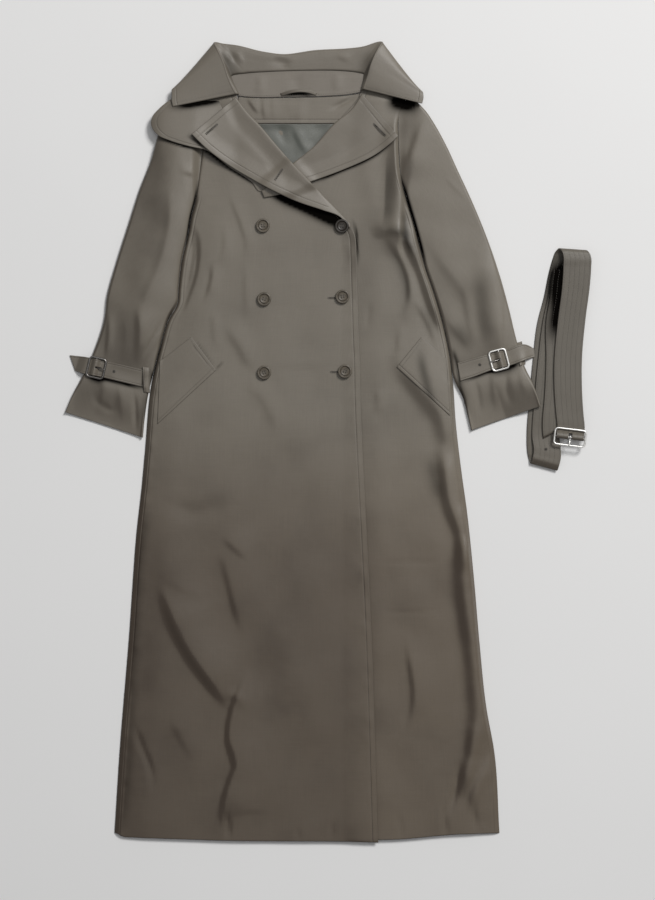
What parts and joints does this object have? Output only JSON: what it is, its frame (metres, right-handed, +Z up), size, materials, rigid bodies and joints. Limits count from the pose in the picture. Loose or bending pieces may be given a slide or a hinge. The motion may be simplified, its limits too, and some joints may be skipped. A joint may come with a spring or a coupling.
{
  "type": "trench coat",
  "caption": "Long double-breasted trench coat laid open-necked on its back, with wide lapels, storm flap, welt pockets, buckled cuff straps and its belt folded beside it.",
  "frame": {"origin": "on the underside of the back panel, in the plane that the coat rests on, near the middle of its length and width", "axes": "+Y from the hem to the collar, +X to the right as one looks down on the coat, which is the wearer's left, and +Z up off the surface"},
  "size_m": [0.8679, 1.3201, 0.0221],
  "materials": {
    "shell_cloth": "closely woven two-tone gabardine in grey-brown and olive, with a soft sheen",
    "lining_cloth": "smooth grey-green lining twill",
    "button_resin": "taupe resin with a soft gloss",
    "buckle_steel": "polished steel wire"
  },
  "bodies": {
    "coat": {"back_panel": "shell_cloth", "neck_facing": "shell_cloth", "front_left": "shell_cloth", "front_right": "shell_cloth", "sleeve_right": "shell_cloth", "sleeve_left": "shell_cloth", "gun_flap": "shell_cloth", "pocket_welt_right": "shell_cloth", "pocket_welt_left": "shell_cloth", "lapel_left": "shell_cloth", "lapel_right": "shell_cloth", "collar_stand": "shell_cloth", "collar_leaf": "shell_cloth", "hanger_loop": "shell_cloth", "cuff_strap_right": "shell_cloth", "cuff_keeper_right": "shell_cloth", "cuff_strap_left": "shell_cloth", "cuff_keeper_left": "shell_cloth", "belt": "shell_cloth", "lining": "lining_cloth", "button_1": "button_resin", "button_2": "button_resin", "button_3": "button_resin", "button_4": "button_resin", "button_5": "button_resin", "button_6": "button_resin", "belt_buckle": "buckle_steel", "cuff_buckle_left": "buckle_steel", "cuff_buckle_right": "buckle_steel", "cuff_prong_left": "buckle_steel", "cuff_prong_right": "buckle_steel"},
    "belt_prong": {"belt_prong": "buckle_steel"}
  },
  "joints": [
    {"name": "belt_prong_hinge", "type": "hinge", "parent": "coat", "child": "belt_prong", "pos_m": [0.397, 0.0085, 0.0153], "axis": [-0.9925, 0.1219, 0], "range_deg": [0, 120]}
  ]
}
